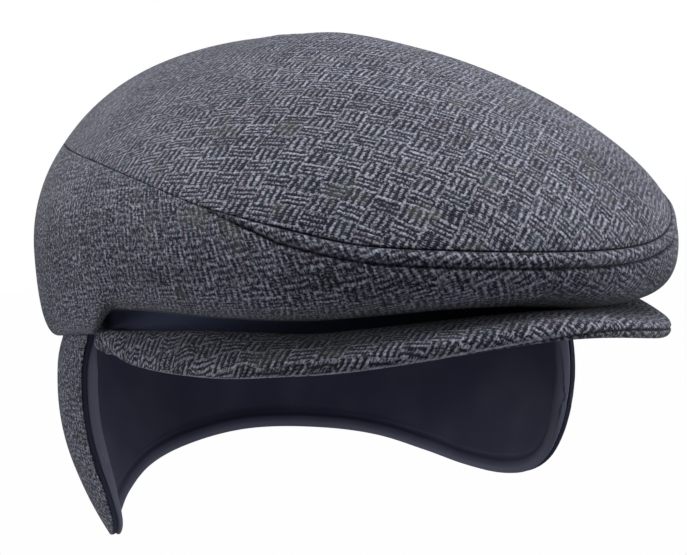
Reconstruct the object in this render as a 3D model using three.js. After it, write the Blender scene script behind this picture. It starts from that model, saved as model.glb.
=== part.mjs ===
// A flat cap with earflaps, in millimetres.
// +Z is up, the peak points along -Y, and the wearer's left is +X.
// The origin is the middle of the head opening, level with the crown's lower edge.
// Angles go round the cap from 0 at the front, through 90 at the wearer's left, to 180 at the back.

import * as THREE from 'three';
import { mergeVertices } from 'three/addons/utils/BufferGeometryUtils.js';

const WALL = 2;              // the tweed with its backing
const LINING_WALL = 2.2;     // the thick lining inside the earflaps
const GAP = 0.3;             // between pieces that are sewn together

// How finely the pieces are cut: columns round or along them, and rows across them
const COLUMNS = { crown: 56, peak: 34, flaps: 38 };
const ROWS = { top: 11, side: 13, peak: 6, flaps: 7 };

// Half the width and half the length of the head opening
const OPENING = { side: 93, front: 99 };

// The crown's widest line, seen from above: how far it stands out over the opening, and its roundness.
// An ellipse has power 2.
const OVERHANG = { front: 48.5, side: 7, back: 18.5 };
const PLAN_POWER = 1.98;

// The middle of the roof, and how much the roof rises toward the back
const APEX = { y: 17.5, z: 99.5, lean: 0.03 };

// The crown's section in three directions, with smooth change between them.
//   widest: height of the widest line
//   rise: straight part of the wall over that line, as a share of the height above it
//   reach: level part of the roof beside the apex, as a share of the way out
//   under: level part of the underside, as a share of its way out
//   drop: straight part of the wall under the widest line, as a share of the height there
const CROWN_SECTIONS = {
  front: { widest: 18, rise: 0.32, reach: 0.52, under: 0.8, drop: 0.72 },
  side: { widest: 27.5, rise: 0.57, reach: 0.39, under: 0.66, drop: 0.62 },
  back: { widest: 28, rise: 0.75, reach: 0.86, under: 0.55, drop: 0.55 },
};

// Over the peak the side panel first stands up as a plain band, and then turns out.
// The soft crown lies down on the peak at the wearer's left and stands clear of it at the right.
const BAND = [
  { angle: -180, height: 0 },
  { angle: -76, height: 0 },
  { angle: -64, height: 8 },
  { angle: -45, height: 7.6 },
  { angle: -22, height: 6.4 },
  { angle: 0, height: 5.3 },
  { angle: 22, height: 4.4 },
  { angle: 45, height: 3.6 },
  { angle: 64, height: 3.2 },
  { angle: 76, height: 0 },
  { angle: 180, height: 0 },
];

// The seam between the top and the side panel, from the front round to the back.
// Its height is 0 on the crown's widest line and 1 at the apex.
const SEAM = [
  { angle: 0, height: 0.038 },
  { angle: 30, height: 0.062 },
  { angle: 48, height: 0.132 },
  { angle: 65, height: 0.21 },
  { angle: 85, height: 0.268 },
  { angle: 125, height: 0.32 },
  { angle: 180, height: 0.34 },
];

// The peak: a stiff board covered with tweed
//   pastCrown: how far its tip stands out past the crown's widest line
//   power: roundness of its outline, 2 for an ellipse
//   cornerY, cornerOut: where its two ends meet the opening, and how far they stand out there
//   lift, arch: height of its edge at the tip, and how far the edge sinks on each side
//   camber: how far its faces swell between root and edge, in full where that is fullReach wide
//   camberGrowth, camberFlat: how late the swell grows with the width, and how flat its top is
//   rootInset, rootWidth: how far it goes in under the rim, and the flat strip there
//   edgeRound: bevel of the edge
const PEAK = {
  thickness: 4, pastCrown: 1.1, power: 1.93, cornerY: -22.7, cornerOut: 0.3,
  lift: 1.7, arch: 5.4, camber: 5.2, fullReach: 45, camberGrowth: 1.5, camberFlat: 3,
  rootInset: 2, rootWidth: 3, edgeRound: 1.2,
};

// The earflaps hang from inside the rim, in one band from ear to ear round the back.
//   upstand: how far the band goes up inside the rim
//   inset: how far its outer face lies inside the opening
//   drawIn: how far it hangs inward all round
//   flare, flareNarrow: how far it stands out over the ears, and how soon that fades to front and back
//   lean: how strongly it curls inward lower down, per mm
//   hem, hemShare: width of the soft edge, and the wall's thickness there as a share
const FLAP = {
  upstand: 12, inset: 0.7, drawIn: 5, flare: 7.7, flareNarrow: 4, lean: 0.005, hem: 5, hemShare: 0.5,
};

// Depths below the rim where drawIn and flare are reached in full, and where the lean starts
const FLAP_FULL = { drawIn: 50, flare: 45, leanFrom: 15 };

// The band's free edge on the wearer's left: angle round the cap and depth below the rim
const FLAP_EDGE = [
  { angle: 80.2, depth: 38 },
  { angle: 80.7, depth: 51 },
  { angle: 83.7, depth: 60.8 },
  { angle: 89.6, depth: 66.6 },
  { angle: 100, depth: 69.2 },
  { angle: 113, depth: 67.6 },
  { angle: 126.7, depth: 62.7 },
  { angle: 141.3, depth: 56.9 },
  { angle: 156.8, depth: 53.2 },
];
const FLAP_MIDDLE = { angle: 180, depth: 50.7 };
const FLAP_FRONT = 81.6;     // angle of the band's front edge at the rim

const rad = THREE.MathUtils.degToRad;
const vec = (x, y, z) => new THREE.Vector3(x, y, z);
const bent = (value, power) => Math.sign(value) * Math.abs(value) ** power;
const mix = THREE.MathUtils.lerp;

// A value from the table of sections, at any angle
function section(column, angle) {
  const front = CROWN_SECTIONS.front[column];
  const side = CROWN_SECTIONS.side[column];
  const back = CROWN_SECTIONS.back[column];
  const forward = Math.cos(rad(angle));
  return side + (front - back) / 2 * forward + ((front + back) / 2 - side) * forward ** 2;
}

function openingPoint(angle, out = 0, z = 0) {
  const turn = rad(angle);
  return vec((OPENING.side + out) * Math.sin(turn), -(OPENING.front + out) * Math.cos(turn), z);
}

function widestPoint(angle) {
  const front = OPENING.front + OVERHANG.front;
  const back = OPENING.front + OVERHANG.back;
  const power = 2 / PLAN_POWER;
  const x = (OPENING.side + OVERHANG.side) * bent(Math.sin(rad(angle)), power);
  const y = (back - front) / 2 - (back + front) / 2 * bent(Math.cos(rad(angle)), power);
  return vec(x, y, section('widest', angle));
}

// The same angle between -180 at the back, past the wearer's right, and 180 at the back again
function turned(angle) {
  return THREE.MathUtils.euclideanModulo(angle + 180, 360) - 180;
}

// The height at some angle on a smooth curve through a table of heights, level at its two ends
function heightFrom(table, angle) {
  const after = Math.max(1, table.findIndex((row) => row.angle >= angle));
  const [low, high] = [table[after - 1], table[after]];
  const span = high.angle - low.angle;
  const share = (angle - low.angle) / span;
  const left = 1 - share;
  const lowPart = low.height * (1 + 2 * share) + share * span * slopeAt(table, after - 1);
  const highPart = high.height * (1 + 2 * left) - left * span * slopeAt(table, after);
  return lowPart * left ** 2 + highPart * share ** 2;
}

function slopeAt(table, row) {
  const [before, here, after] = [table[row - 1], table[row], table[row + 1]];
  if (!before || !after || before.height === here.height || after.height === here.height) {
    return 0;
  }
  return (after.height - before.height) / (after.angle - before.angle);
}

// A point on the crown: height runs from -1 at the rim through 0 on the widest line to 1 at the apex.
function crownPoint(angle, height) {
  const widest = widestPoint(angle);
  if (height < 0) {
    const band = openingPoint(angle, 0, heightFrom(BAND, turned(angle)));
    const under = band.clone().lerp(vec(widest.x, widest.y, band.z), section('under', angle));
    const low = widest.clone().setZ(mix(widest.z, band.z, section('drop', angle)));
    const lower = new THREE.CurvePath();
    lower.add(new THREE.LineCurve3(openingPoint(angle), band));
    lower.add(new THREE.CubicBezierCurve3(band, under, low, widest));
    return lower.getPoint(1 + height);
  }
  const apex = vec(0, APEX.y, APEX.z);
  const out = widest.clone().sub(apex).setZ(0);
  const shoulder = widest.clone();
  shoulder.z += section('rise', angle) * (APEX.z - widest.z);
  const roof = apex.clone().addScaledVector(out, section('reach', angle));
  roof.z += APEX.lean * (roof.y - APEX.y);
  return new THREE.CubicBezierCurve3(widest, shoulder, roof, apex).getPoint(height);
}

// Evenly spaced values from first to last
function spread(first, last, count) {
  return Array.from({ length: count + 1 }, (_, i) => mix(first, last, i / count));
}

// The way out of a surface at one place, from two short steps along it
function wayOut(place, u, v) {
  const step = 0.002;
  const vStep = v + step > 1 ? -step : step;
  const here = place(u, v);
  const along = place(u + step, v).sub(here);
  const up = place(u, v + vStep).sub(here).multiplyScalar(Math.sign(vStep));
  return along.cross(up).normalize();
}

// One column of a cloth wall: the outer points, then the inner ones back to the start
function wallColumn(place, u, vs, wall, poleNormal) {
  const outer = vs.map((v) => place(u, v));
  const inner = vs.map((v, i) => {
    const normal = poleNormal && v >= 1 ? poleNormal : wayOut(place, u, v);
    return outer[i].clone().addScaledVector(normal, -wall);
  });
  return [...outer, ...inner.reverse()];
}

// A closed body from columns of points, each column a closed loop, out along one face and
// back along the other. Both faces are cut into triangles the same way, so the wall stays even.
// A ring joins its last column to its first, and other bodies get their two ends closed.
function bodyFromColumns(columns, ring) {
  const loop = columns[0].length;
  const faces = [];
  const quad = (a, b, c, d) => faces.push(a, b, c, a, c, d);
  const joins = ring ? columns.length : columns.length - 1;
  for (let j = 0; j < joins; j += 1) {
    const here = j * loop;
    const next = ((j + 1) % columns.length) * loop;
    for (let i = 0; i < loop; i += 1) {
      const after = (i + 1) % loop;
      if (i < loop / 2) {
        quad(here + i, next + i, next + after, here + after);
      } else {
        quad(next + i, next + after, here + after, here + i);
      }
    }
  }
  if (!ring) {
    const end = joins * loop;
    for (let i = 0; i < loop / 2 - 1; i += 1) {
      quad(i, i + 1, loop - 2 - i, loop - 1 - i);
      quad(end + i, end + loop - 1 - i, end + loop - 2 - i, end + i + 1);
    }
  }
  const geometry = new THREE.BufferGeometry().setFromPoints(columns.flat());
  geometry.setIndex(faces);
  const merged = mergeVertices(geometry, 1e-4);
  const index = withoutFlatFaces(merged.index.array);
  merged.setIndex(signedVolume(merged, index) < 0 ? index.reverse() : index);
  merged.computeVertexNormals();
  return merged;
}

function withoutFlatFaces(index) {
  const kept = [];
  for (let i = 0; i < index.length; i += 3) {
    const [a, b, c] = index.slice(i, i + 3);
    if (a !== b && b !== c && c !== a) {
      kept.push(a, b, c);
    }
  }
  return kept;
}

function signedVolume(geometry, index) {
  const corner = (i) => vec().fromBufferAttribute(geometry.attributes.position, index[i]);
  let sum = 0;
  for (let i = 0; i < index.length; i += 3) {
    sum += corner(i).dot(corner(i + 1).cross(corner(i + 2)));
  }
  return sum / 6;
}

// The seam's place on the crown, moved a little way up or down to leave the gap
function seamHeight(angle, way) {
  const seam = heightFrom(SEAM, Math.abs(turned(angle)));
  const step = 0.01;
  const perStep = crownPoint(angle, seam + step).distanceTo(crownPoint(angle, seam));
  return seam + way * GAP / 2 * step / perStep;
}

function roundCrown(column) {
  return Array.from({ length: COLUMNS.crown }, (_, j) => column(j * 360 / COLUMNS.crown));
}

// The top panel: one piece of tweed over the whole head, from seam to seam
function topPanel() {
  const place = (angle, v) => crownPoint(angle, mix(seamHeight(angle, 1), 1, v));
  const vs = spread(0, 1, ROWS.top);
  const up = vec(0, 0, 1);
  return bodyFromColumns(roundCrown((angle) => wallColumn(place, angle, vs, WALL, up)), true);
}

// The side panel: the ring of tweed from the seam down, and in under the crown to the rim
function sidePanel() {
  const place = (angle, v) => crownPoint(angle, mix(-1, seamHeight(angle, -1), v));
  const vs = spread(0, 1, ROWS.side);
  return bodyFromColumns(roundCrown((angle) => wallColumn(place, angle, vs, WALL)), true);
}

// The peak's outer edge: way runs from -1 at the wearer's right end to 1 at the left one.
function peakEdge(way) {
  const turn = rad(90 * way);
  const power = 2 / PEAK.power;
  const cornerTurn = Math.sqrt(1 - (PEAK.cornerY / OPENING.front) ** 2);
  const halfWidth = OPENING.side * cornerTurn + PEAK.cornerOut;
  const reach = OPENING.front + OVERHANG.front + PEAK.pastCrown + PEAK.cornerY;
  const x = halfWidth * bent(Math.sin(turn), power);
  const y = PEAK.cornerY - reach * bent(Math.cos(turn), power);
  const z = PEAK.lift * Math.cos(turn) - PEAK.arch * Math.sin(2 * turn) ** 2 - GAP;
  return vec(x, y, z);
}

// One column of the peak: its upper face out to the edge, and its lower face back
function peakColumn(way) {
  const cornerAngle = THREE.MathUtils.radToDeg(Math.acos(-PEAK.cornerY / OPENING.front));
  const root = openingPoint(cornerAngle * way, -PEAK.rootInset, -GAP);
  const edge = peakEdge(way);
  const reach = root.distanceTo(edge);
  const camber = PEAK.camber * Math.min(1, reach / PEAK.fullReach) ** PEAK.camberGrowth;
  const rootShare = Math.min(PEAK.rootWidth, reach / 2) / reach;
  const shares = [0, ...spread(rootShare, 1 - PEAK.edgeRound / reach, ROWS.peak)];
  const upper = shares.map((share) => {
    const point = root.clone().lerp(edge, share);
    const past = Math.max(0, share - rootShare) / (1 - rootShare);
    point.z += camber * (1 - Math.abs(2 * past - 1) ** PEAK.camberFlat);
    return point;
  });
  const lower = upper.map((point) => point.clone().setZ(point.z - PEAK.thickness));
  const edgeTop = edge.clone().setZ(edge.z - PEAK.edgeRound);
  const edgeFoot = edge.clone().setZ(edge.z - PEAK.thickness + PEAK.edgeRound);
  return [...upper, edgeTop, edgeFoot, ...lower.reverse()];
}

function peak() {
  return bodyFromColumns(spread(-1, 1, COLUMNS.peak).map(peakColumn), false);
}

// A point on the earflaps, at an angle, a depth below the rim and some way inside the outer face
function flapPoint(angle, depth, inside) {
  const below = Math.max(depth, 0);
  const quarter = Math.PI / 2;
  const drawn = FLAP.drawIn * Math.sin(Math.min(below / FLAP_FULL.drawIn, 1) * quarter);
  const flared = FLAP.flare * Math.sin(Math.min(below / FLAP_FULL.flare, 1) * quarter);
  const leaning = FLAP.lean * Math.max(below - FLAP_FULL.leanFrom, 0) ** 2;
  const atSide = Math.sin(rad(angle)) ** FLAP.flareNarrow;
  const out = flared * atSide - drawn - leaning - FLAP.inset - inside;
  return openingPoint(angle, out, -depth);
}

// The free edge from the wearer's left ear round the back to the right one
function flapEdge() {
  const left = FLAP_EDGE.map(({ angle, depth }) => vec(angle, depth, 0));
  const middle = vec(FLAP_MIDDLE.angle, FLAP_MIDDLE.depth, 0);
  const right = FLAP_EDGE.map(({ angle, depth }) => vec(360 - angle, depth, 0)).reverse();
  return new THREE.CatmullRomCurve3([...left, middle, ...right]);
}

// One layer of the earflaps, between two depths of thickness inside the outer face
function flapLayer(inside, wall) {
  const edge = flapEdge();
  const hemWay = FLAP.hem / (Math.PI * OPENING.side);
  const shares = [0, ...spread(hemWay, 1 - hemWay, COLUMNS.flaps), 1];
  const columns = shares.map((share) => {
    const low = edge.getPointAt(share);
    const top = mix(FLAP_FRONT, 360 - FLAP_FRONT, share);
    const depths = [...spread(-FLAP.upstand, low.y - FLAP.hem, ROWS.flaps), low.y];
    const place = (depth, deep) => {
      const down = (depth + FLAP.upstand) / (low.y + FLAP.upstand);
      return flapPoint(mix(top, low.x, down), depth, deep);
    };
    const outer = depths.map((depth) => place(depth, inside));
    const inner = depths.map((depth) => {
      const onEdge = depth === low.y || share === 0 || share === 1;
      return place(depth, inside + wall * (onEdge ? FLAP.hemShare : 1));
    });
    return [...outer, ...inner.reverse()];
  });
  return bodyFromColumns(columns, false);
}

const group = new THREE.Group();

function addPiece(name, geometry, color, roughness) {
  const material = new THREE.MeshStandardMaterial({ color, roughness, metalness: 0 });
  const piece = new THREE.Mesh(geometry, material);
  piece.name = name;
  group.add(piece);
}

const TWEED = 0x5b5d69;
const LINING = 0x1b1c26;

addPiece('crown_top', topPanel(), TWEED, 0.9);
addPiece('side_panel', sidePanel(), TWEED, 0.9);
addPiece('peak', peak(), TWEED, 0.9);
addPiece('earflap_cloth', flapLayer(0, WALL), TWEED, 0.9);
addPiece('earflap_lining', flapLayer(WALL + GAP, LINING_WALL), LINING, 0.95);

export default group;
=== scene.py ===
"""A flat cap with earflaps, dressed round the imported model.

Sizes are in metres and angles in degrees. +Z is up, the peak points along -Y, and +X is the
wearer's left. Angles go round the cap from 0 at the front, through 90 at the wearer's left, to 180
at the back.
"""

import math

import bmesh
import bpy
import numpy as np
from mathutils import Matrix, Vector


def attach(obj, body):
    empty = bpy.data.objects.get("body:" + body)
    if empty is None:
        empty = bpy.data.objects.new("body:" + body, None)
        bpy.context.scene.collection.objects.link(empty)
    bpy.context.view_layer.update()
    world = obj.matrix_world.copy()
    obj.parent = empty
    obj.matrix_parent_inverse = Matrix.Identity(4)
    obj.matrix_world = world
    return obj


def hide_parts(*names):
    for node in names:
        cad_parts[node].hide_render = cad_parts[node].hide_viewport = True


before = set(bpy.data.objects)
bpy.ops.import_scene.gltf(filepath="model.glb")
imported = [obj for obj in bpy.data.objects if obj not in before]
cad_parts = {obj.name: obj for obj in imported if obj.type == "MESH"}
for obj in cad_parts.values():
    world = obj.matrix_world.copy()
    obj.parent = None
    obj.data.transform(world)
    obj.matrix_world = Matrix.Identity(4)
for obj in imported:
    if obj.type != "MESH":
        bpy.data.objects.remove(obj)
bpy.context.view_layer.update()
scene = bpy.context.scene
scene.view_settings.view_transform = "Standard"


# ---- The room ----
# A pale floor far below the cap, white walls, and soft lamps: a wide one overhead, weaker ones on
# both sides and a faint one below. The camera stands in front, to the wearer's right, a little above
# the peak.

PHOTO_SIZE = (687, 555)                 # pixels
PHOTO_CENTRE = (325.3, 313.0)           # the pixel where the cap's origin shows
CAMERA_DISTANCE = 0.499
CAMERA_AZIMUTH = -23.8
CAMERA_HEIGHT_ANGLE = 3.98
CAMERA_ROLL = -3.56
CAMERA_FOCAL = 1415                     # pixels
CAMERA_NEAR = 0.01
SENSOR_WIDTH = 36                       # millimetres
FLOOR_HEIGHT = -1.2
FLOOR_SIZE = 30
FLOOR_COLOUR = (0.99, 0.99, 0.99, 1)
WALL_COLOUR = (1.0, 1.0, 1.0, 1)
ROOM_LIGHT = 0.14                       # how bright the walls are, but for the camera
LAMPS = {
    # name: place, size, watts, colour
    "lamp_overhead": ((0.20, -0.34, 1.08), 0.9, 11.9, (0.98, 0.985, 1)),
    "lamp_left": ((-1.1, 0.6, 0.0), 0.7, 5.3, (0.94, 0.97, 1)),
    "lamp_right": ((1.25, -0.45, 0.05), 0.7, 4.7, (0.94, 0.97, 1)),
    "lamp_low": ((-0.10, -0.85, -0.80), 0.8, 1.15, (0.80, 0.86, 1)),
}
LAMP_UP = (0, 1, 0.1)


def aim(thing, place, forward, up):
    """Puts a camera or a lamp at a place, looking forward."""
    back = -forward.normalized()
    right = up.cross(back).normalized()
    axes = Matrix((right, back.cross(right), back)).transposed()
    thing.matrix_world = Matrix.Translation(place) @ axes.to_4x4()


def add_camera():
    turn, rise, roll = (math.radians(a) for a in (CAMERA_AZIMUTH, CAMERA_HEIGHT_ANGLE, CAMERA_ROLL))
    back = Vector((math.sin(turn) * math.cos(rise), -math.cos(turn) * math.cos(rise), math.sin(rise)))
    level = Vector((math.cos(turn), math.sin(turn), 0))
    right = level * math.cos(roll) + back.cross(level) * math.sin(roll)
    up = back.cross(level) * math.cos(roll) - level * math.sin(roll)
    aside = (PHOTO_SIZE[0] / 2 - PHOTO_CENTRE[0]) / CAMERA_FOCAL
    above = (PHOTO_CENTRE[1] - PHOTO_SIZE[1] / 2) / CAMERA_FOCAL
    camera = bpy.data.objects.new("camera", bpy.data.cameras.new("camera"))
    camera.data.sensor_width = SENSOR_WIDTH
    camera.data.lens = SENSOR_WIDTH * CAMERA_FOCAL / PHOTO_SIZE[0]
    camera.data.clip_start = CAMERA_NEAR
    scene.collection.objects.link(camera)
    aim(camera, back * CAMERA_DISTANCE, right * aside + up * above - back, up)
    scene.camera = camera


def add_lamp(name, place, size, power, colour):
    """A square soft lamp that looks at the cap."""
    lamp = bpy.data.objects.new(name, bpy.data.lights.new(name, "AREA"))
    lamp.data.shape = "SQUARE"
    lamp.data.size = size
    lamp.data.energy = power
    lamp.data.color = colour
    scene.collection.objects.link(lamp)
    place = Vector(place)
    aim(lamp, place, -place, Vector(LAMP_UP))


class Value:
    """A socket of a finish, with the sums that Python writes on it."""

    def __init__(self, finish, socket):
        self.finish = finish
        self.socket = socket

    def math(self, operation, *others):
        inputs = dict(enumerate((self, *others)))
        return self.finish.node("ShaderNodeMath", {"operation": operation}, inputs)

    def __add__(self, other):
        return self.math("ADD", other)

    def __sub__(self, other):
        return self.math("SUBTRACT", other)

    def __rsub__(self, other):
        return (self * -1) + other

    def __mul__(self, other):
        return self.math("MULTIPLY", other)

    def __truediv__(self, other):
        return self.math("DIVIDE", other)

    __radd__ = __add__
    __rmul__ = __mul__

    def floor(self):
        return self.math("FLOOR")

    def part(self):
        return self.math("FRACT")

    def size(self):
        return self.math("ABSOLUTE")

    def wave(self):
        """A wave of height 1 with one crest at each whole number."""
        return (self * (2 * math.pi)).math("COSINE")

    def ramp(self, low, high):
        """0 below low, 1 above high, and smooth between."""
        settings = {"interpolation_type": "SMOOTHSTEP"}
        inputs = {"Value": self, "From Min": low, "From Max": high}
        return self.finish.node("ShaderNodeMapRange", settings, inputs)


class Finish:
    """The nodes of one material, or of the room."""

    def __init__(self, owner):
        owner.use_nodes = True
        self.owner = owner
        self.tree = owner.node_tree
        self.tree.nodes.clear()

    def node(self, kind, settings=None, inputs=None, output=0):
        """Adds a node with its settings, and gives its inputs numbers, colours or other values."""
        made = self.tree.nodes.new(kind)
        for key, value in (settings or {}).items():
            setattr(made, key, value)
        for key, value in (inputs or {}).items():
            socket = made.inputs[key]
            if isinstance(value, Value):
                self.tree.links.new(value.socket, socket)
            else:
                socket.default_value = value
        return Value(self, made.outputs[output]) if made.outputs else None


def floor_finish():
    """Pale and even, so that it runs into the white walls."""
    finish = Finish(bpy.data.materials.new("floor_paint"))
    glow = finish.node("ShaderNodeEmission", {}, {"Color": FLOOR_COLOUR, "Strength": 1.0})
    finish.node("ShaderNodeOutputMaterial", {}, {"Surface": glow})
    return finish.owner


def add_floor():
    bm = bmesh.new()
    bmesh.ops.create_grid(bm, x_segments=1, y_segments=1, size=FLOOR_SIZE)
    bmesh.ops.translate(bm, vec=(0, 0, FLOOR_HEIGHT), verts=bm.verts)
    mesh = bpy.data.meshes.new("floor")
    bm.to_mesh(mesh)
    bm.free()
    mesh.materials.append(floor_finish())
    floor = bpy.data.objects.new("floor", mesh)
    floor.visible_diffuse = False
    floor.visible_glossy = False
    scene.collection.objects.link(floor)


def add_walls():
    """The walls are white to the camera, and light the cap only a little."""
    room = Finish(bpy.data.worlds.new("room"))
    seen = room.node("ShaderNodeLightPath", {}, {}, "Is Camera Ray")
    strength = room.node("ShaderNodeMapRange", {}, {"Value": seen, "To Min": ROOM_LIGHT})
    walls = room.node("ShaderNodeBackground", {}, {"Color": WALL_COLOUR, "Strength": strength})
    room.node("ShaderNodeOutputWorld", {}, {"Surface": walls})
    scene.world = room.owner


add_camera()
add_floor()
add_walls()
for lamp_name, lamp_values in LAMPS.items():
    add_lamp(lamp_name, *lamp_values)


# ---- The tweed ----
# Charcoal and pale wool woven in small blocks: four dark dashes in one, and three across them in the
# next, on a ground of pale beaded threads. The cloth is napped, with odd threads of other tints. It
# is cut flat, so each piece carries the flat cloth's own measure as its UV map.

BLOCK_ROW, BLOCK_COLUMN = 0.0077, 0.0058      # the size of one woven block
ROW_DASHES = 4
ROW_DASH_ENDS = (0.46, 0.53)                  # from the block's middle, as shares of the block
COLUMN_DASH_PITCH = 0.278                     # between the other block's three dashes, in columns
COLUMN_DASH_SIDES = (0.39, 0.44)
COLUMN_DASH_ENDS = (0.42, 0.50)
COLUMN_STRANDS = 7
ROW_THREADS, COLUMN_THREADS = 8, 7

DRIFT_SCALE, DRIFT = 40.0, 0.0036             # how the threads wander: places a metre, and how far
FRAY_SCALE, FRAY = 750.0, 0.0015              # how they fray
FUZZ_SCALE, STREAK_SCALE, SPECKLE_SCALE = 1500.0, 800.0, 1050.0
PATCH_SCALE, OLIVE_SCALE = 30.0, 85.0
DASH_FUZZ, DASH_STREAK = 1.6, 0.6             # how uneven the dashes' edges are
DASH_EDGE, SPECKLE_EDGE = (0.22, 0.72), (0.44, 0.56)
NAP_LEAST, NAP_EVEN, NAP_PATCH = 0.1, 0.55, 0.9
PALE_LEVEL = 0.44                             # how pale the threads are, and what makes it vary
BEAD_PALE, STREAK_PALE, YARN_PALE, PATCH_PALE = 0.24, 2.9, 0.30, 0.4
FUZZ_EDGE = (0.42, 0.72)
OLIVE_EDGE, OLIVE_SHARE = (0.60, 0.72), 0.30
TEAL_EDGE, ROSE_EDGE, TINT_SHARE = (0.92, 0.94), (0.94, 0.96), 0.16
# How the painted shade varies with the streaks, and where the painted highlight shows on the fuzz.
PAINTED_SHADE_EVEN, PAINTED_SHADE_STREAK, PAINTED_SHADE_EDGE = 0.74, 0.25, (0.38, 0.60)
FUZZ_AND_HIGHLIGHT_EDGE = (0.3, 0.6)
RIDGE_HEIGHT, BEAD_HEIGHT, FUZZ_HEIGHT, STREAK_HEIGHT = 0.30, 0.20, 0.9, 0.8
TWEED_FEEL = {"roughness": 0.95, "relief": 0.00014, "sheen": 0.13, "sheen_roughness": 0.5}
WOOL_SPECULAR = 0.25

DARK_WOOL = (0.0075, 0.0085, 0.0170, 1)
NAP_WOOL = (0.0400, 0.0420, 0.0600, 1)
PALE_WOOL = (0.6100, 0.6230, 0.7550, 1)
OLIVE_WOOL = (0.1300, 0.1400, 0.1050, 1)
TEAL_WOOL = (0.0900, 0.1500, 0.1800, 1)
ROSE_WOOL = (0.2100, 0.1300, 0.1700, 1)
# Painted light: a pale colour for the painted rim highlight on the peak's fuzzy edge, a dark one for
# painted shade in the seams' grooves, and a blue-grey one for painted shade in the hollow over the
# peak.
FUZZ_AND_HIGHLIGHT_WOOL = (0.6200, 0.6300, 0.7400, 1)
PAINTED_SHADE_WOOL = (0.0120, 0.0140, 0.0260, 1)
HOLLOW_SHADE_WOOL = (0.0850, 0.1000, 0.1800, 1)


class Cloth(Finish):
    """The material of a cloth, whose pattern lies on the flat cut."""

    def __init__(self, name):
        super().__init__(bpy.data.materials.new(name))
        self.flat = self.node("ShaderNodeUVMap", {"uv_map": "cut"})

    def noise(self, scale, detail=2.0, output="Fac"):
        inputs = {"Vector": self.flat, "Scale": scale, "Detail": detail}
        return self.node("ShaderNodeTexNoise", {}, inputs, output)

    def moved(self, place, by, much):
        """A place moved a little by the colours of a noise."""
        inputs = {0: by, 1: (0.5, 0.5, 0.5)}
        away = self.node("ShaderNodeVectorMath", {"operation": "SUBTRACT"}, inputs)
        inputs = {0: away, 1: (much, much, much), 2: place}
        return self.node("ShaderNodeVectorMath", {"operation": "MULTIPLY_ADD"}, inputs)

    def axis(self, place, name):
        return self.node("ShaderNodeSeparateXYZ", {}, {"Vector": place}, name)

    def chance(self, x, y, z):
        """A number from 0 to 1 that is the same for one place."""
        place = self.node("ShaderNodeCombineXYZ", {}, {"X": x, "Y": y, "Z": z})
        return self.node("ShaderNodeTexWhiteNoise", {"noise_dimensions": "3D"}, {"Vector": place})

    def mark(self, name):
        """A value that is written on the piece's points."""
        return self.node("ShaderNodeAttribute", {"attribute_name": name}, {}, "Fac")

    def blend(self, share, low, high):
        """A colour between two."""
        inputs = {0: share, 6: low, 7: high}
        settings = {"data_type": "RGBA", "clamp_factor": True}
        return self.node("ShaderNodeMix", settings, inputs, output=2)

    def surface(self, colour, height, feel):
        """Ends the material: feel names its roughness, relief, sheen and sheen roughness."""
        bump = self.node("ShaderNodeBump", {}, {"Distance": feel["relief"], "Height": height})
        inputs = {
            "Base Color": colour,
            "Roughness": feel["roughness"],
            "Normal": bump,
            "Specular IOR Level": WOOL_SPECULAR,
            "Sheen Weight": feel["sheen"],
            "Sheen Roughness": feel["sheen_roughness"],
        }
        shader = self.node("ShaderNodeBsdfPrincipled", {}, inputs)
        self.node("ShaderNodeOutputMaterial", {}, {"Surface": shader})
        return self.owner


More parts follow.
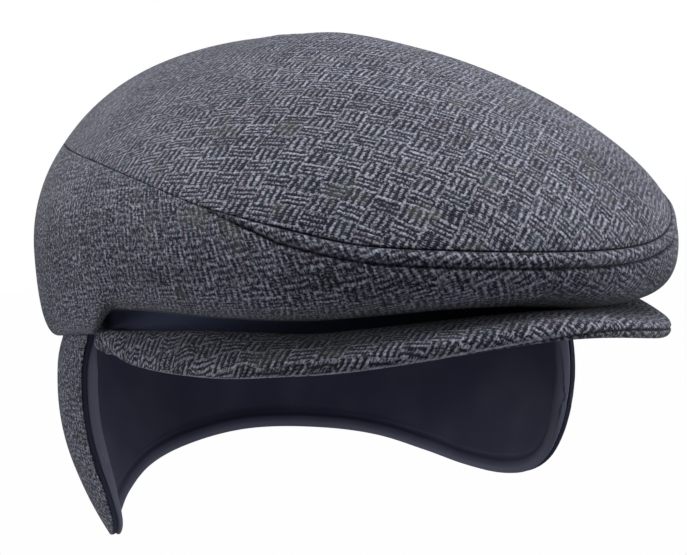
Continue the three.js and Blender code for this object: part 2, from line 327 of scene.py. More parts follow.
def tweed():
    cloth = Cloth("tweed")
    drift = cloth.noise(DRIFT_SCALE, 1.0, "Color")
    fray = cloth.noise(FRAY_SCALE, 2.0, "Color")
    where = cloth.moved(cloth.moved(cloth.flat, drift, DRIFT), fray, FRAY)
    u = cloth.axis(where, "X") / BLOCK_ROW
    v = cloth.axis(where, "Y") / BLOCK_COLUMN
    row, column = u.floor(), v.floor()
    odd = ((row + column) * 0.5).part() * 2
    from_row, from_column = (u.part() - 0.5).size(), (v.part() - 0.5).size()

    def block(first, second):
        """One value in every other block, and another in the blocks between."""
        return (1 - odd) * first + odd * second

    # The dark dashes, and the ridges of the threads under them.
    along_row = (0.5 - (u * ROW_DASHES).wave() * 0.5) * (1 - from_column.ramp(*ROW_DASH_ENDS))
    along_column = 0.5 + (from_column / COLUMN_DASH_PITCH).wave() * 0.5
    along_column = along_column * (1 - from_column.ramp(*COLUMN_DASH_SIDES))
    along_column = along_column * (1 - from_row.ramp(*COLUMN_DASH_ENDS))
    row_ridge, column_ridge = (u * ROW_THREADS).wave(), (v * COLUMN_THREADS).wave()
    bead = block(column_ridge, row_ridge)
    ridge = block(row_ridge, column_ridge * -1)

    # Fibres, streaks and patches, and a chance for each strand of yarn.
    fuzz = cloth.noise(FUZZ_SCALE, 3.0)
    streak = cloth.noise(STREAK_SCALE)
    speckle = cloth.noise(SPECKLE_SCALE)
    patch = cloth.noise(PATCH_SCALE)
    strand = block((u * ROW_DASHES + 0.5).floor(), (from_column * COLUMN_STRANDS).floor())
    yarn = cloth.chance(row, column, strand)
    tint = cloth.chance(column + 0.5, strand, row)

    # The nap hides the dashes, and leaves speckles.
    woven = block(along_row, along_column) + (fuzz - 0.5) * DASH_FUZZ + (streak - 0.5) * DASH_STREAK
    hidden = (cloth.mark("nap") + NAP_LEAST) * (NAP_EVEN + patch * NAP_PATCH)
    dash = woven.ramp(*DASH_EDGE) * (1 - hidden) + (1 - speckle.ramp(*SPECKLE_EDGE)) * hidden

    level = PALE_LEVEL + bead * BEAD_PALE + (streak - 0.5) * STREAK_PALE
    level = level + (yarn - 0.5) * YARN_PALE + (patch - 0.5) * PATCH_PALE
    ground = cloth.blend(fuzz.ramp(*FUZZ_EDGE) * (0.5 + patch), DARK_WOOL, NAP_WOOL)
    colour = cloth.blend((1 - dash) * level, ground, PALE_WOOL)
    olive = cloth.noise(OLIVE_SCALE, 1.0).ramp(*OLIVE_EDGE)
    colour = cloth.blend(olive * OLIVE_SHARE, colour, OLIVE_WOOL)
    colour = cloth.blend(tint.ramp(*TEAL_EDGE) * TINT_SHARE, colour, TEAL_WOOL)
    colour = cloth.blend((1 - tint).ramp(*ROSE_EDGE) * TINT_SHARE, colour, ROSE_WOOL)

    # The painted light mark is up to 1 where painted shade darkens a seam's groove or a folded edge, up
    # to 2 where painted shade fills the hollow over the peak, and below 0 where a painted highlight
    # lightens the peak's fuzzy edge.
    painted_light = cloth.mark("painted_light")
    shaded = painted_light * (PAINTED_SHADE_EVEN + streak.ramp(*PAINTED_SHADE_EDGE) * PAINTED_SHADE_STREAK)
    colour = cloth.blend(shaded, colour, PAINTED_SHADE_WOOL)
    colour = cloth.blend(painted_light - 1, colour, HOLLOW_SHADE_WOOL)
    colour = cloth.blend((painted_light * -1) * fuzz.ramp(*FUZZ_AND_HIGHLIGHT_EDGE), colour, FUZZ_AND_HIGHLIGHT_WOOL)

    height = (ridge * RIDGE_HEIGHT + bead * BEAD_HEIGHT) * (1 - hidden)
    height = height + fuzz * FUZZ_HEIGHT + streak * STREAK_HEIGHT
    return cloth.surface(colour, height, TWEED_FEEL)


TWEED = tweed()


# ---- The reverse of the cloth ----
# Inside the crown and the band the tweed's plain dark backing shows. It is stuck to the tweed before
# the pieces are cut, so it has the same flat pattern.

DARK_BACKING = (0.012, 0.013, 0.020, 1)
PALE_BACKING = (0.022, 0.024, 0.034, 1)
BACKING_SCALE, BACKING_EDGE = 1400.0, (0.35, 0.7)
BACKING_FEEL = {"roughness": 0.85, "relief": 0.0003, "sheen": 0.2, "sheen_roughness": 0.5}


def backing():
    cloth = Cloth("backing")
    weave = cloth.noise(BACKING_SCALE)
    colour = cloth.blend(weave.ramp(*BACKING_EDGE), DARK_BACKING, PALE_BACKING)
    return cloth.surface(colour, weave, BACKING_FEEL)


REVERSE = backing()


# ---- The side panel ----
# A strip of tweed from the seam with the top down to the rim. It stands up behind the peak as a
# plain band, turns out under the crown, and is closed by a seam at the centre back. In front, a
# second line of stitches under the seam raises a narrow welt.

OPENING_SIDE, OPENING_FRONT = 0.093, 0.099     # half the head opening
OVERHANG_FRONT, OVERHANG_SIDE, OVERHANG_BACK = 0.0485, 0.007, 0.0185
PLAN_POWER = 1.98                              # how full the crown's plan is: 2 is an ellipse
APEX_Y, APEX_Z, APEX_LEAN = 0.0175, 0.0995, 0.03
WALL = 0.002
SECTIONS = {
    # height or share: at the front, side and back
    "widest": (0.018, 0.0275, 0.028),
    "rise": (0.32, 0.57, 0.75),
    "reach": (0.52, 0.39, 0.86),
    "under": (0.8, 0.66, 0.55),
    "drop": (0.72, 0.62, 0.55),
}
BAND = {
    # angle: height of the upright band
    -180: 0, -98: 0, -80: 0.0021, -74: 0.0027, -68: 0.0094, -62: 0.0094, -45: 0.0071, -31: 0.0054,
    -22: 0.0057, -11: 0.0064, 0: 0.0060, 6: 0.0050, 13: 0.0036, 22: 0.0026, 45: 0.0014, 64: 0.0012,
    76: 0, 180: 0,
}
RIM_RISE = {
    # angle: how far the rim rises at the near end of the peak
    -180: 0, -98: 0, -78: 0.0018, -64: 0.0016, -40: 0, 180: 0,
}
SEAM = {
    # angle: place of the seam, 0 on the widest line and 1 at the apex
    0: 0.038, 30: 0.062, 48: 0.132, 65: 0.21, 85: 0.268, 125: 0.32, 180: 0.34,
}
SEAM_RISE = {
    # angle: how far the seam lies higher, as the crown lies lower on the wearer's left
    -180: 0, -90: 0, -70: 0.0006, -55: 0.0011, -38: 0.0024, -28: 0.0016, -15: 0.0015,
    0: 0.0004, 15: -0.0013, 25: -0.0020, 45: -0.0014, 70: 0, 180: 0,
}
BAND_STEPS, UNDER_STEPS, UPPER_STEPS = 20, 160, 400
TINY = 1e-12                                   # keeps a division from going by nothing


def section(name, angle):
    """A value from the table of sections, at any angle."""
    front, side, back = SECTIONS[name]
    forward = np.cos(np.radians(angle))
    return side + (front - back) / 2 * forward + ((front + back) / 2 - side) * forward**2


def smooth_curve(places, values, slopes, at):
    """A curve through values at some places, with its slopes there."""
    low = np.clip(np.searchsorted(places, at) - 1, 0, len(places) - 2)
    span = places[low + 1] - places[low]
    share = (at - places[low]) / span
    left = 1 - share
    first = values[low] * (1 + 2 * share) + share * span * slopes[low]
    last = values[low + 1] * (1 + 2 * left) - left * span * slopes[low + 1]
    return first * left**2 + last * share**2


def smooth_table(table, at):
    """A smooth curve through a table, level at its two ends and beside equal values."""
    places, values = (np.array(list(part), float) for part in (table.keys(), table.values()))
    slopes = np.zeros(len(places))
    for i in range(1, len(places) - 1):
        if values[i - 1] != values[i] != values[i + 1]:
            slopes[i] = (values[i + 1] - values[i - 1]) / (places[i + 1] - places[i - 1])
    return smooth_curve(places, values, slopes, at)


def bent(value, power):
    return np.sign(value) * np.abs(value) ** power


def points(x, y, z):
    return np.stack(np.broadcast_arrays(x, y, z), axis=-1)


def opening(angle, out=0.0, z=0.0):
    """The head opening's oval, or one some way outside it."""
    turn = np.radians(angle)
    return points((OPENING_SIDE + out) * np.sin(turn), -(OPENING_FRONT + out) * np.cos(turn), z)


def bezier(a, b, c, d, share):
    s = share[..., None]
    return a * (1 - s) ** 3 + 3 * b * (1 - s) ** 2 * s + 3 * c * (1 - s) * s**2 + d * s**3


def lengths_along(grid, axis):
    """How far each point of a grid is along its line."""
    steps = np.linalg.norm(np.diff(grid, axis=axis), axis=-1)
    start = np.zeros_like(np.take(steps, [0], axis=axis))
    return np.concatenate([start, np.cumsum(steps, axis=axis)], axis=axis)


def crown_lines(angle):
    """Lines up the crown from the rim to the apex, one for each angle.

    Gives their points, the length from the rim to each, and the seam's length from the rim."""
    a = angle[:, None]
    front, back = OPENING_FRONT + OVERHANG_FRONT, OPENING_FRONT + OVERHANG_BACK
    power = 2 / PLAN_POWER
    x = (OPENING_SIDE + OVERHANG_SIDE) * bent(np.sin(np.radians(a)), power)
    y = (back - front) / 2 - (back + front) / 2 * bent(np.cos(np.radians(a)), power)
    z = section("widest", a)
    widest = points(x, y, z)
    rim = smooth_table(RIM_RISE, a)
    band_z = np.maximum(smooth_table(BAND, a), rim)
    band = opening(a, 0, band_z)
    under = band + (points(x, y, band_z) - band) * section("under", a)[..., None]
    low = points(x, y, z + (band_z - z) * section("drop", a))
    shoulder = points(x, y, z + (APEX_Z - z) * section("rise", a))
    reach = section("reach", a)
    roof_y = APEX_Y + (y - APEX_Y) * reach
    roof = points(x * reach, roof_y, APEX_Z + APEX_LEAN * (roof_y - APEX_Y))
    apex = np.broadcast_to(np.array((0.0, APEX_Y, APEX_Z)), roof.shape)

    rising = np.linspace(0, 1, BAND_STEPS, endpoint=False)[None, :]
    turning = np.linspace(0, 1, UNDER_STEPS, endpoint=False)[None, :]
    roofing = np.linspace(0, 1, UPPER_STEPS + 1)[None, :]
    upright = opening(a, 0, rim + (band_z - rim) * rising)
    underside = bezier(band, under, low, widest, turning)
    upper = bezier(widest, shoulder, roof, apex, roofing)
    lines = np.concatenate([upright, underside, upper], axis=1)
    lengths = lengths_along(lines, 1)
    seam = smooth_table(SEAM, np.abs(angle)) * UPPER_STEPS + BAND_STEPS + UNDER_STEPS
    seam_length = np.array([np.interp(s, range(len(row)), row) for s, row in zip(seam, lengths)])
    return lines, lengths, seam_length + smooth_table(SEAM_RISE, angle)


def along_lines(lines, lengths, wanted):
    """The points at the wanted lengths along each line."""
    made = [
        [np.interp(want, length, line[:, axis]) for axis in range(3)]
        for line, length, want in zip(lines, lengths, wanted)
    ]
    return np.array(made).transpose(0, 2, 1)


def outward(grid):
    """The way out of a grid of points, at each of them."""
    across, up = np.gradient(grid, axis=0), np.gradient(grid, axis=1)
    way = np.cross(across, up)
    size = np.linalg.norm(way, axis=2, keepdims=True)
    return way / np.maximum(size, TINY)


def rounded(edge_distance, radius):
    """The share of the wall's thickness near an edge that is rounded over."""
    share = np.clip(edge_distance / radius, 0, 1)
    return np.sqrt(1 - (1 - share) ** 2)


def bump_at(distance, width):
    """1 on a line, and nothing away from it."""
    return np.exp(-((distance / width) ** 2))


def two_faces(outer, way, full, fold=0.5):
    """The cloth's outer and inner faces. They meet where full is 0, at a share of the wall."""
    middle = outer - way * WALL * fold
    full = full[..., None]
    return middle + way * WALL * fold * full, middle - way * WALL * (1 - fold) * full


SAME_POINT = 2e-6                              # points of the two faces this near are one


def cloth_piece(name, faces, cuts, finishes, marks):
    """One piece of cloth from the points of its outer and inner faces, which meet at its edges.

    cuts gives each point's place on the cloth before it was sewn, and marks gives its values: the
    painted light mark is how dark with painted shade, or below nothing how light with a painted
    highlight, and nap is how felted. Both are by face."""
    bm = bmesh.new()
    cut = bm.loops.layers.uv.new("cut")
    layers = {mark: bm.verts.layers.float.new(mark) for mark in marks}
    columns, rows = faces[0].shape[0] - 1, faces[0].shape[1] - 1
    for side, (face, on_cloth) in enumerate(zip(faces, cuts)):
        made = bmesh.ops.create_grid(bm, x_segments=columns, y_segments=rows, size=0.5)["verts"]
        for vert in made:
            i, j = round((vert.co.x + 0.5) * columns), round((vert.co.y + 0.5) * rows)
            vert.co = face[i, j]
            for mark, layer in layers.items():
                vert[layer] = marks[mark][side][i, j]
            for loop in vert.link_loops:
                loop[cut].uv = on_cloth[i, j]
        for f in {f for vert in made for f in vert.link_faces}:
            f.material_index = side
            f.smooth = True
    bmesh.ops.remove_doubles(bm, verts=bm.verts, dist=SAME_POINT)
    bmesh.ops.recalc_face_normals(bm, faces=bm.faces)
    mesh = bpy.data.meshes.new(name)
    bm.to_mesh(mesh)
    bm.free()
    for finish in finishes:
        mesh.materials.append(finish)
    piece = bpy.data.objects.new(name, mesh)
    scene.collection.objects.link(piece)
    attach(piece, "root")
    return piece


CROWN_COLUMNS = 400
SIDE_ROWS = 44
SIDE_FINE, SIDE_FINE_STEP = 0.0072, 0.0004     # fine rows under the seam, for the welt
EDGE_RADIUS = 0.00045
ROUNDING = 1 - np.cos(np.radians((0, 25, 50, 75)))    # rows over a rounded edge, by its radius
WELT_FROM, WELT_FULL = 56, 40                  # angles where the welt starts and has its full width
WELT_WIDTH = 0.0044
WELT_OPENING = 1.7                             # how slowly it widens
WELT_PUFF = 0.0007
WELT_GROOVE, WELT_GROOVE_WIDTH = 0.0011, 0.0005
SOFTNESS = 0.00022                             # how uneven the cloth lies
SOFT_WAVES = (
    # height, waves round the cap, turn for each metre up it, start
    (1.0, 3, 35, 0), (0.8, 5, -50, 1.3), (0.4, 9, 70, 0.4),
)
CALM_WIDTH = 0.01                              # the cloth lies even beside an edge
SIDE_TURN = 28                                 # how far the weave turns from the back to the front
SIDE_CUT_ROW = -25                             # the row that keeps its length in the flat cut
SIDE_NAP = {0: 0.22, 45: 0.25, 75: 0.50, 110: 0.65, 180: 0.65}
# Width of the painted shade along the seams' grooves.
SEAM_SHADE_WIDTH = 0.00045
BACK_SEAM_SHADE = 0.12                             # how dark the seam's painted shade is behind the welt
HOLLOW_FROM, HOLLOW_FULL = 73, 68              # angles where the painted shade of the hollow over the peak ends
HOLLOW_SHARE, HOLLOW_FADE = 0.27, 0.006        # the share of the underside it covers, and its fade


def row_lengths(end, fine, fine_step, count):
    """Distances from the seam: rounded at both ends, fine first, and then even."""
    rounding = EDGE_RADIUS * ROUNDING
    dense = np.arange(EDGE_RADIUS, fine, fine_step)
    even = np.linspace(fine, end - EDGE_RADIUS, count)
    return np.concatenate([rounding, dense, even, end - rounding[::-1]])


def unevenness(angle, length):
    """Soft cloth never lies quite even."""
    turn = np.radians(angle)
    waves = [high * np.sin(count * turn + up * length + start) for high, count, up, start in SOFT_WAVES]
    return SOFTNESS * sum(waves)


def seam_strength(angle):
    """1 where the welt is full, falling to nothing where it starts."""
    return (WELT_FROM - np.abs(angle)) / (WELT_FROM - WELT_FULL)


def side_panel():
    end = math.degrees(EDGE_RADIUS / OPENING_SIDE)
    even = np.linspace(-180 + end, 180 - end, CROWN_COLUMNS)
    angle = np.concatenate([-180 + end * ROUNDING, even, 180 - end * ROUNDING[::-1]])
    lines, lengths, seam = crown_lines(angle)
    below = np.array([row_lengths(deep, SIDE_FINE, SIDE_FINE_STEP, SIDE_ROWS) for deep in seam])
    below = below[:, ::-1]                         # from the rim up to the seam
    above_rim = seam[:, None] - below
    outer = along_lines(lines, lengths, above_rim)
    way = outward(outer)

    # The welt's puff, the groove of its stitches, and the cloth's own unevenness.
    width = (WELT_WIDTH * np.clip(seam_strength(angle), 0, 1) ** WELT_OPENING)[:, None]
    welt = np.clip(width / WELT_WIDTH * 2, 0, 1)
    groove = WELT_GROOVE * welt * bump_at(below - width, WELT_GROOVE_WIDTH)
    inside = np.clip(below / np.maximum(width, TINY), 0, 1)
    puff = WELT_PUFF * welt * np.sin(math.pi * inside)
    edge = np.minimum(below, above_rim)
    calm = np.clip(edge / CALM_WIDTH, 0, 1)
    outer = outer + way * (puff - groove + unevenness(angle[:, None], below) * calm)[..., None]

    round_back = np.radians(180 - np.abs(angle))[:, None] * OPENING_SIDE
    faces = two_faces(outer, way, rounded(np.minimum(edge, round_back), EDGE_RADIUS))

    # The flat cut: the panel's length round the crown, with the weave turning slowly along it.
    round_front = lengths_along(outer[:, SIDE_CUT_ROW], 0)
    steps = np.diff(round_front, prepend=round_front[0])
    turned = np.radians(SIDE_TURN * (1 - np.abs(angle) / 180)) * np.sign(angle)
    line = np.stack([np.cumsum(np.cos(turned) * steps), np.cumsum(np.sin(turned) * steps)], axis=1)
    down = np.stack([np.sin(turned), -np.cos(turned)], axis=1)
    flat = line[:, None, :] + down[:, None, :] * below[..., None]

    # Painted shade darkens the grooves of the seam and of the welt's stitches.
    at_seam = (BACK_SEAM_SHADE + (1 - BACK_SEAM_SHADE) * welt) * bump_at(below, SEAM_SHADE_WIDTH)
    at_stitch = welt * bump_at(below - width, SEAM_SHADE_WIDTH)
    # Painted shade: the band and the underside behind the peak are painted dark blue-grey, as the
    # hollow there lies in shade.
    in_front = np.clip((HOLLOW_FROM - np.abs(angle)) / (HOLLOW_FROM - HOLLOW_FULL), 0, 1)[:, None]
    roof_end = lengths[:, BAND_STEPS + round(UNDER_STEPS * HOLLOW_SHARE), None]
    hollow_shade = 2 * in_front * np.clip((roof_end - above_rim) / HOLLOW_FADE, 0, 1)
    painted_light = np.maximum(np.maximum(at_seam, at_stitch), hollow_shade)
    nap = np.broadcast_to(smooth_table(SIDE_NAP, np.abs(angle))[:, None], below.shape)
    marks = {"painted_light": (painted_light, painted_light * 0), "nap": (nap, nap)}
    piece = cloth_piece("side_panel_tweed", faces, (flat, flat), (TWEED, REVERSE), marks)
    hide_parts("side_panel")


side_panel()


# ---- The top panel ----
# One oval of tweed over the whole head, cut on the bias, so that its blocks stand on their corners.
# Its edge is turned under along the seam, where it is sewn to the side panel.

TOP_ROWS = 56
TOP_FINE, TOP_FINE_STEP = 0.006, 0.0006
TOP_CALM_WIDTH = 0.03                          # the cloth lies even round the apex
TOP_BIAS = 45
TOP_BOW = 2.55                                 # how the weave bows backward to the sides, per metre
TOP_BOW_FROM, TOP_BOW_RANGE = 0.02, 0.1
TOP_NAP = {-180: 0.35, -110: 0.25, -60: 0.02, -25: 0, 10: 0.14, 60: 0.25, 110: 0.30, 180: 0.35}


def on_the_bias(x, y):
    """A place on the cloth, turned as the top is cut."""
    bias = math.radians(TOP_BIAS)
    c, s = math.cos(bias), math.sin(bias)
    return np.stack([x * c - y * s, x * s + y * c], axis=-1)


def top_panel():
    angle = np.linspace(-180, 180, CROWN_COLUMNS + 1)
    lines, lengths, seam = crown_lines(angle)
    depth = lengths[:, -1] - seam
    rows = [row_lengths(deep + EDGE_RADIUS, TOP_FINE, TOP_FINE_STEP, TOP_ROWS) for deep in depth]
    above = np.array(rows)[:, : -len(ROUNDING)]    # the apex isn't an edge
    outer = along_lines(lines, lengths, seam[:, None] + above)
    way = outward(outer)
    way[0] = way[-1] = (way[0] + way[-1]) / 2
    way[:, -1] = (0, APEX_LEAN, 1)
    way /= np.linalg.norm(way, axis=2, keepdims=True)
    from_apex = depth[:, None] - above
    calm = np.clip(above / CALM_WIDTH, 0, 1) * np.clip(from_apex / TOP_CALM_WIDTH, 0, 1)
    outer = outer + way * (unevenness(angle[:, None], above) * calm)[..., None]
    faces = two_faces(outer, way, rounded(above, EDGE_RADIUS))

    toward = outer[:, 0, :2] - np.array((0.0, APEX_Y))
    direction = np.arctan2(toward[:, 1], toward[:, 0])[:, None]
    x, y = from_apex * np.cos(direction), from_apex * np.sin(direction)
    y = y - TOP_BOW * x**2 * np.clip((TOP_BOW_FROM - y) / TOP_BOW_RANGE, 0, 1)
    flat = on_the_bias(x, y)

    # Painted shade darkens the seam's groove, most where the welt is full.
    strength = np.clip(seam_strength(angle), BACK_SEAM_SHADE, 1)[:, None]
    painted_light = strength * bump_at(above, SEAM_SHADE_WIDTH)
    nap = np.broadcast_to(smooth_table(TOP_NAP, angle)[:, None], above.shape)
    marks = {"painted_light": (painted_light, painted_light * 0), "nap": (nap, nap)}
    piece = cloth_piece("top_panel_tweed", faces, (flat, flat), (TWEED, REVERSE), marks)
    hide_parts("crown_top")


top_panel()


# ---- The peak ----
# A stiff board covered with tweed above and below. The two covers meet in a seam along the edge,
# which shows at the front under the rounded lip, and the board is sewn in under the band.

PEAK_COLUMNS, PEAK_ROWS, LIP_ROWS = 260, 30, 22
PEAK_THICKNESS = 0.005
PEAK_GAP = 0.0003                              # between the peak and the rim
PEAK_PAST_CROWN = 0.0011
PEAK_POWER = 1.93                              # how full its plan is: 2 is an ellipse
PEAK_CORNER_Y, PEAK_CORNER_OUT = -0.0272, 0.0014
PEAK_LIFT, PEAK_ARCH = 0.0027, 0.0056          # its edge is higher in the middle, and dips between
PEAK_END_DROP = 0.0028
PEAK_DROPPING = {
    # angle: share of that drop
    -90: -0.6, -84: 1.0, -78: 1.6, -70: 1.4, -58: 0.75, -42: 0, 45: 0, 72: 0.4, 90: 0,
}
PEAK_CAMBER, PEAK_CAMBER_FLAT = 0.0035, 3      # how high it is domed, and how flat on top
PEAK_FULL_REACH, PEAK_CAMBER_GROWTH = 0.045, 1.5
PEAK_ROOT_INSET, PEAK_ROOT_WIDTH = 0.002, 0.003
PEAK_END_SWELL, PEAK_END_STEEPNESS = 0.0042, 0.50
PEAK_SWELL_LEAN = 0.6                          # the swell is fullest nearer the band
PEAK_SWELLING = {
    # angle: share of that swell
    0: 0, 30: 0, 60: 1, 90: 1,
}
PEAK_ROOT_THINNING = {
    # angle: share of the thickness that is left at the band
    0: 1, 83: 1, 87: 0.78, 90: 0.3,
}
PEAK_LIP_REACH = 1.04                          # the board is at least this many lips deep
PEAK_SEAM = {
    # angle: degrees round the lip to the seam
    -90: 150, -12: 146, 2: 116, 14: 84, 35: 68, 90: 68,
}
PEAK_GROOVE, PEAK_GROOVE_WIDTH = 0.30, 10      # share of the lip's radius, and degrees round the lip
# A pale line along the peak's lower edge on the wearer's right, partly the edge's fuzz and partly a
# painted rim highlight.
PEAK_RIM_HIGHLIGHT = {
    # angle: how strong the painted rim highlight on the edge's fuzz is
    -90: 1, -12: 1, 4: 0, 90: 0,
}
PEAK_HIGHLIGHT_AHEAD, PEAK_HIGHLIGHT_WIDTH = 30, 10      # degrees round the lip, before the seam


def end_distance(line):
    """How far each point of a line is from the nearer of its two ends, along the line."""
    so_far = lengths_along(line, 0)
    return np.minimum(so_far, so_far[-1] - so_far)


def peak():
    across = np.sin(np.linspace(-math.pi / 2, math.pi / 2, PEAK_COLUMNS + 1))[:, None]
    angle = 90 * across
    turn, around = np.radians(angle), np.abs(angle)

    # The edge in front, and the root along the rim.
    power = 2 / PEAK_POWER
    half_width = OPENING_SIDE * math.sqrt(1 - (PEAK_CORNER_Y / OPENING_FRONT) ** 2) + PEAK_CORNER_OUT
    forward = OPENING_FRONT + OVERHANG_FRONT + PEAK_PAST_CROWN + PEAK_CORNER_Y
    x = half_width * bent(np.sin(turn), power)
    y = PEAK_CORNER_Y - forward * bent(np.cos(turn), power)
    z = PEAK_LIFT * np.cos(turn) - PEAK_ARCH * np.sin(2 * turn) ** 2 - PEAK_GAP
    z = z - PEAK_END_DROP * smooth_table(PEAK_DROPPING, angle)
    corner = math.degrees(math.acos(-PEAK_CORNER_Y / OPENING_FRONT))
    rim = smooth_table(RIM_RISE, corner * across)
    edge = points(x, y, z + rim)
    root = opening(corner * across, -PEAK_ROOT_INSET, rim - PEAK_GAP)
    reach = np.linalg.norm(edge - root, axis=2)
    out = (edge - root) / reach[..., None]

    # The board's middle surface, from the root to where the lip begins.
    lip = np.minimum(PEAK_THICKNESS / 2, reach / PEAK_LIP_REACH)
    half = (lip * rounded(end_distance(edge[:, 0]), PEAK_THICKNESS / 2)[:, None])[..., None]
    even = np.linspace(0, 1, PEAK_ROWS + 1)[None, :]
    shares = even * (1 - lip / reach)
    root_share = np.minimum(PEAK_ROOT_WIDTH, reach / 2) / reach
    past = np.maximum(0, shares - root_share) / (1 - root_share)
    camber = PEAK_CAMBER * np.minimum(1, reach / PEAK_FULL_REACH) ** PEAK_CAMBER_GROWTH
    swell = camber * (1 - np.abs(2 * past - 1) ** PEAK_CAMBER_FLAT)
    end_swell = PEAK_END_SWELL * smooth_table(PEAK_SWELLING, around)
    end_swell = np.minimum(end_swell, PEAK_END_STEEPNESS * reach)
    swell = swell + end_swell * np.sin(math.pi * past**PEAK_SWELL_LEAN)
    thin = smooth_table(PEAK_ROOT_THINNING, around)
    filled = thin + (1 - thin) * even
    board = root + (edge - root) * shares[..., None] + points(0, 0, swell - PEAK_THICKNESS / 2 * filled)

    slope = np.gradient(board, axis=1)
    slope /= np.linalg.norm(slope, axis=2, keepdims=True)
    up = np.cross(slope, np.cross(np.array((0.0, 0.0, 1.0)), out))
    up /= np.linalg.norm(up, axis=2, keepdims=True)
    end, end_slope, end_up = board[:, -1:], slope[:, -1:], up[:, -1:]

    # The upper cover and the lower one, each rolled round the lip to the seam.
    faces, cuts, painted_lights = [], [], []
    seam_at = smooth_table(PEAK_SEAM, angle)
    for sign, stop in ((1, seam_at), (-1, 180 - seam_at)):
        sweep = np.linspace(0, 1, LIP_ROWS + 1)[None, 1:] * stop
        away = np.radians(sweep)[..., None]
        # The seam's groove: it sinks the lip, and its painted shade darkens the seam line.
        at_seam = bump_at(sweep - stop, PEAK_GROOVE_WIDTH)
        groove = 1 - PEAK_GROOVE * at_seam[..., None]
        rolled = end + (sign * end_up * np.cos(away) + end_slope * np.sin(away)) * half * groove
        covered = board + sign * up * half * filled[..., None]
        face = np.concatenate([board[:, :1], covered, rolled], axis=1)
        plan = root[:, :, :2] + out[:, :, :2] * lengths_along(face, 1)[..., None]
        # On the upper cover, just ahead of the seam, a pale line that is partly the edge's fuzz and
        # partly a painted rim highlight.
        painted_highlight = bump_at(sweep - stop + PEAK_HIGHLIGHT_AHEAD, PEAK_HIGHLIGHT_WIDTH) * smooth_table(PEAK_RIM_HIGHLIGHT, angle)
        painted_light = at_seam - painted_highlight if sign > 0 else at_seam
        plain = np.zeros((len(face), PEAK_ROWS + 2))
        faces.append(face)
        cuts.append(on_the_bias(plan[..., 0], plan[..., 1]))
        painted_lights.append(np.concatenate([plain, painted_light], axis=1))
    piece = cloth_piece("peak_tweed", faces, cuts, (TWEED, TWEED), {"painted_light": painted_lights})
    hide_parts("peak")


peak()


# ---- The earflaps ----
# One band from ear to ear round the back, sewn inside the rim and hanging below it. Its outer layer
# is tweed, in two halves with a seam at the centre back.

FLAP_COLUMNS, FLAP_ROWS = 300, 46
FLAP_END_SHARE, FLAP_END_COLUMNS = 0.0125, 12  # finer columns at each end of the band
FLAP_LINE_POINTS = 4001
FLAP_UPSTAND, FLAP_INSET, FLAP_DRAW_IN = 0.012, 0.0007, 0.005
FLAP_FLARE, FLAP_FLARE_NARROW, FLAP_LEAN = 0.0077, 4, 5
DRAW_IN_DEPTH, FLARE_DEPTH, LEAN_DEPTH = 0.050, 0.045, 0.015
FLAP_TUCK, TUCK_DEPTH = 0.0022, 0.012          # how far the band is drawn in at the rim
FLAP_FRONT = 81.6
FLAP_EDGE = (
    # the free edge from the wearer's left ear to the centre back: angle and depth below the rim
    (80.2, 0.0380), (80.7, 0.0510), (83.7, 0.0608), (89.6, 0.0666), (100, 0.0692), (113, 0.0676),
    (126.7, 0.0627), (141.3, 0.0569), (156.8, 0.0532), (180, 0.0507),
)
FLAP_RADIUS = 0.0006
FLAP_FOLD = 0.8                                # share of the wall where its edge lies, from outside
FLAP_SEAM, FLAP_SEAM_WIDTH = 0.0008, 0.0007    # the groove at the centre back
FLAP_CUT_INSET = 0.004                         # the band's mean radius is less than the opening's
FLAP_NAP = 0.6
FLAP_EDGE_SHADE, FLAP_EDGE_DARKEST = 6.0, 1.45  # how fast its folded edge darkens, and how far
MILLIMETRE = 0.001


def smooth_line(knots, shares):
    """The points at some shares of the length of a smooth line through some knots."""
    knots = np.array(knots, float)
    gaps = np.sqrt(np.linalg.norm(np.diff(knots, axis=0), axis=1))
    times = np.concatenate([[0], np.cumsum(gaps)])
    slopes = np.gradient(knots, times, axis=0)
    at = np.linspace(0, times[-1], FLAP_LINE_POINTS)
    line = np.stack([smooth_curve(times, *part, at) for part in zip(knots.T, slopes.T)], axis=1)
    so_far = lengths_along(line, 0)
    return np.stack([np.interp(shares * so_far[-1], so_far, part) for part in line.T], axis=1)


def flap_point(angle, depth, inside):
    """A point on the band, at an angle, a depth below the rim and some way inside its outer face."""
    below = np.maximum(depth, 0)
    drawn = FLAP_DRAW_IN * np.sin(np.minimum(below / DRAW_IN_DEPTH, 1) * math.pi / 2)
    flared = FLAP_FLARE * np.sin(np.minimum(below / FLARE_DEPTH, 1) * math.pi / 2)
    leaning = FLAP_LEAN * np.maximum(below - LEAN_DEPTH, 0) ** 2
    tucked = FLAP_TUCK * (1 - np.clip(below / TUCK_DEPTH, 0, 1)) ** 2
    at_side = np.sin(np.radians(angle)) ** FLAP_FLARE_NARROW
    return opening(angle, flared * at_side - drawn - leaning - tucked - FLAP_INSET - inside, -depth)


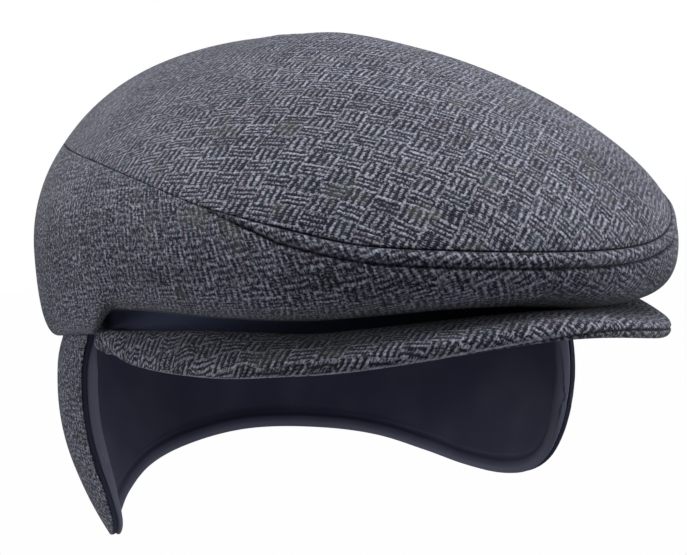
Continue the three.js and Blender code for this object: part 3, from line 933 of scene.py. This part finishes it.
def flap_grid():
    """The angles and depths of the band's grid of points, from its top edge down to its free edge."""
    # With the depths in millimetres, a degree and a millimetre weigh alike.
    half = [(angle, depth / MILLIMETRE) for angle, depth in FLAP_EDGE]
    knots = half + [(360 - angle, depth) for angle, depth in reversed(half[:-1])]
    closing = np.cos(np.linspace(0, math.pi / 2, FLAP_END_COLUMNS))
    fine = FLAP_END_SHARE * (1 - closing)[:-1]
    even = np.linspace(FLAP_END_SHARE, 1 - FLAP_END_SHARE, FLAP_COLUMNS)
    share = np.concatenate([fine, even, 1 - fine[::-1]])
    free = smooth_line(knots, share)
    low_angle, low_depth = free[:, :1], free[:, 1:] * MILLIMETRE
    down = np.sin(np.linspace(0, math.pi / 2, FLAP_ROWS))[None, :]
    depth = -FLAP_UPSTAND + (low_depth + FLAP_UPSTAND) * down
    top = (FLAP_FRONT + (360 - 2 * FLAP_FRONT) * share)[:, None]
    return top + (low_angle - top) * down, depth


def edge_distances(grid, depth):
    """How far each point of the band is from its free outline, and from the nearest edge of all."""
    outline = np.concatenate([grid[0], grid[:, -1], grid[-1]])
    free = np.stack([
        np.min(np.linalg.norm(column[:, None, :] - outline[None, :, :], axis=2), axis=1)
        for column in grid
    ])
    return free, np.minimum(free, depth + FLAP_UPSTAND)


def flap_cut(angle, depth):
    """The band's flat pattern: round the head, and down."""
    return np.stack([np.radians(angle - 180) * (OPENING_SIDE - FLAP_CUT_INSET), -depth], axis=2)


def earflap_cloth():
    angle, depth = flap_grid()
    outer = flap_point(angle, depth, 0)
    way = -outward(outer)
    _, edge = edge_distances(outer, depth)
    from_back = np.radians(np.abs(angle - 180)) * OPENING_FRONT
    outer = outer - way * (FLAP_SEAM * bump_at(from_back, FLAP_SEAM_WIDTH))[..., None]
    full = rounded(edge, FLAP_RADIUS)
    faces = two_faces(outer, way, full, FLAP_FOLD)
    nap = FLAP_NAP + (1 - FLAP_NAP) * (1 - full)
    painted_light = np.clip((1 - full) * FLAP_EDGE_SHADE, 0, FLAP_EDGE_DARKEST)
    marks = {"nap": (nap, nap), "painted_light": (painted_light, painted_light)}
    cut = flap_cut(angle, depth)
    piece = cloth_piece("earflap_tweed", faces, (cut, cut), (TWEED, REVERSE), marks)
    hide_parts("earflap_cloth")


earflap_cloth()


# ---- The earflaps' lining ----
# A thick dark lining inside the band, sewn to the tweed along the free edge. It is padded, and rolls
# over in a soft welt along that edge, with a line of stitches beside it.

LINING_WALL = 0.0022
LINING_GAP = 0.0001                            # between the tweed and the lining
LINING_SET_BACK = 0.0005                       # how much further in its face lies at the edge
ROLL_RADIUS, ROLL_EXTRA, ROLL_WIDTH = 0.0024, 0.0022, 0.0050
ROLL_THINNING = {
    # depth below the rim: share of the roll's extra
    0: 1, 0.035: 1, 0.062: 0.1, 0.1: 0.1,
}
ROLL_START = 0.01                              # depth below the rim where it has its full thickness
ROLL_STITCH, ROLL_STITCH_WIDTH, ROLL_STITCH_DEPTH = 0.0052, 0.0006, 0.0006
DARK_LINING = (0.0840, 0.0890, 0.1650, 1)
# The lining's colour under the painted highlight along its roll.
HIGHLIGHT_LINING = (0.1950, 0.2000, 0.2850, 1)
LINING_FINE_SCALE, LINING_FINE_SHARE = 1600.0, 0.3
LINING_BROAD_SCALE, LINING_BROAD_SHARE, LINING_BROAD_EDGE = 28.0, 0.4, (0.35, 0.7)
LINING_FEEL = {"roughness": 0.62, "relief": 0.0002, "sheen": 0.25, "sheen_roughness": 0.4}


def lining_cloth():
    cloth = Cloth("lining")
    fine = cloth.noise(LINING_FINE_SCALE) * LINING_FINE_SHARE
    broad = cloth.noise(LINING_BROAD_SCALE)
    # The painted light mark lightens the roll with a painted highlight, and darkens the stitches' line
    # with painted shade.
    share = broad.ramp(*LINING_BROAD_EDGE) * LINING_BROAD_SHARE + fine - cloth.mark("painted_light")
    colour = cloth.blend(share, DARK_LINING, HIGHLIGHT_LINING)
    return cloth.surface(colour, fine + broad, LINING_FEEL)


LINING = lining_cloth()


def earflap_lining():
    angle, depth = flap_grid()
    outer = flap_point(angle, depth, WALL + LINING_GAP)
    way = -outward(outer)
    free_edge, edge = edge_distances(outer, depth)
    roll = np.clip(1 - (np.maximum(free_edge - ROLL_RADIUS, 0) / ROLL_WIDTH) ** 2, 0, 1)
    roll = ROLL_EXTRA * roll * smooth_table(ROLL_THINNING, depth)
    low = np.clip(depth / ROLL_START, 0, 1)
    stitch = bump_at(free_edge - ROLL_STITCH, ROLL_STITCH_WIDTH) * low
    thick = (LINING_WALL + roll * low - ROLL_STITCH_DEPTH * stitch) * rounded(edge, ROLL_RADIUS)
    set_back = LINING_SET_BACK * (1 - rounded(edge, FLAP_RADIUS))
    face = outer - way * set_back[..., None]
    reverse = face - way * thick[..., None]
    # A painted highlight along the roll at the free edge; on the inner face, painted shade along the
    # stitches.
    painted_highlight = -np.clip(1 - free_edge / ROLL_STITCH, 0, 1) * low
    cut = flap_cut(angle, depth)
    marks = {"painted_light": (painted_highlight, painted_highlight + stitch)}
    piece = cloth_piece("earflap_lining_cloth", (face, reverse), (cut, cut), (LINING, LINING), marks)
    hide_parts("earflap_lining")


earflap_lining()
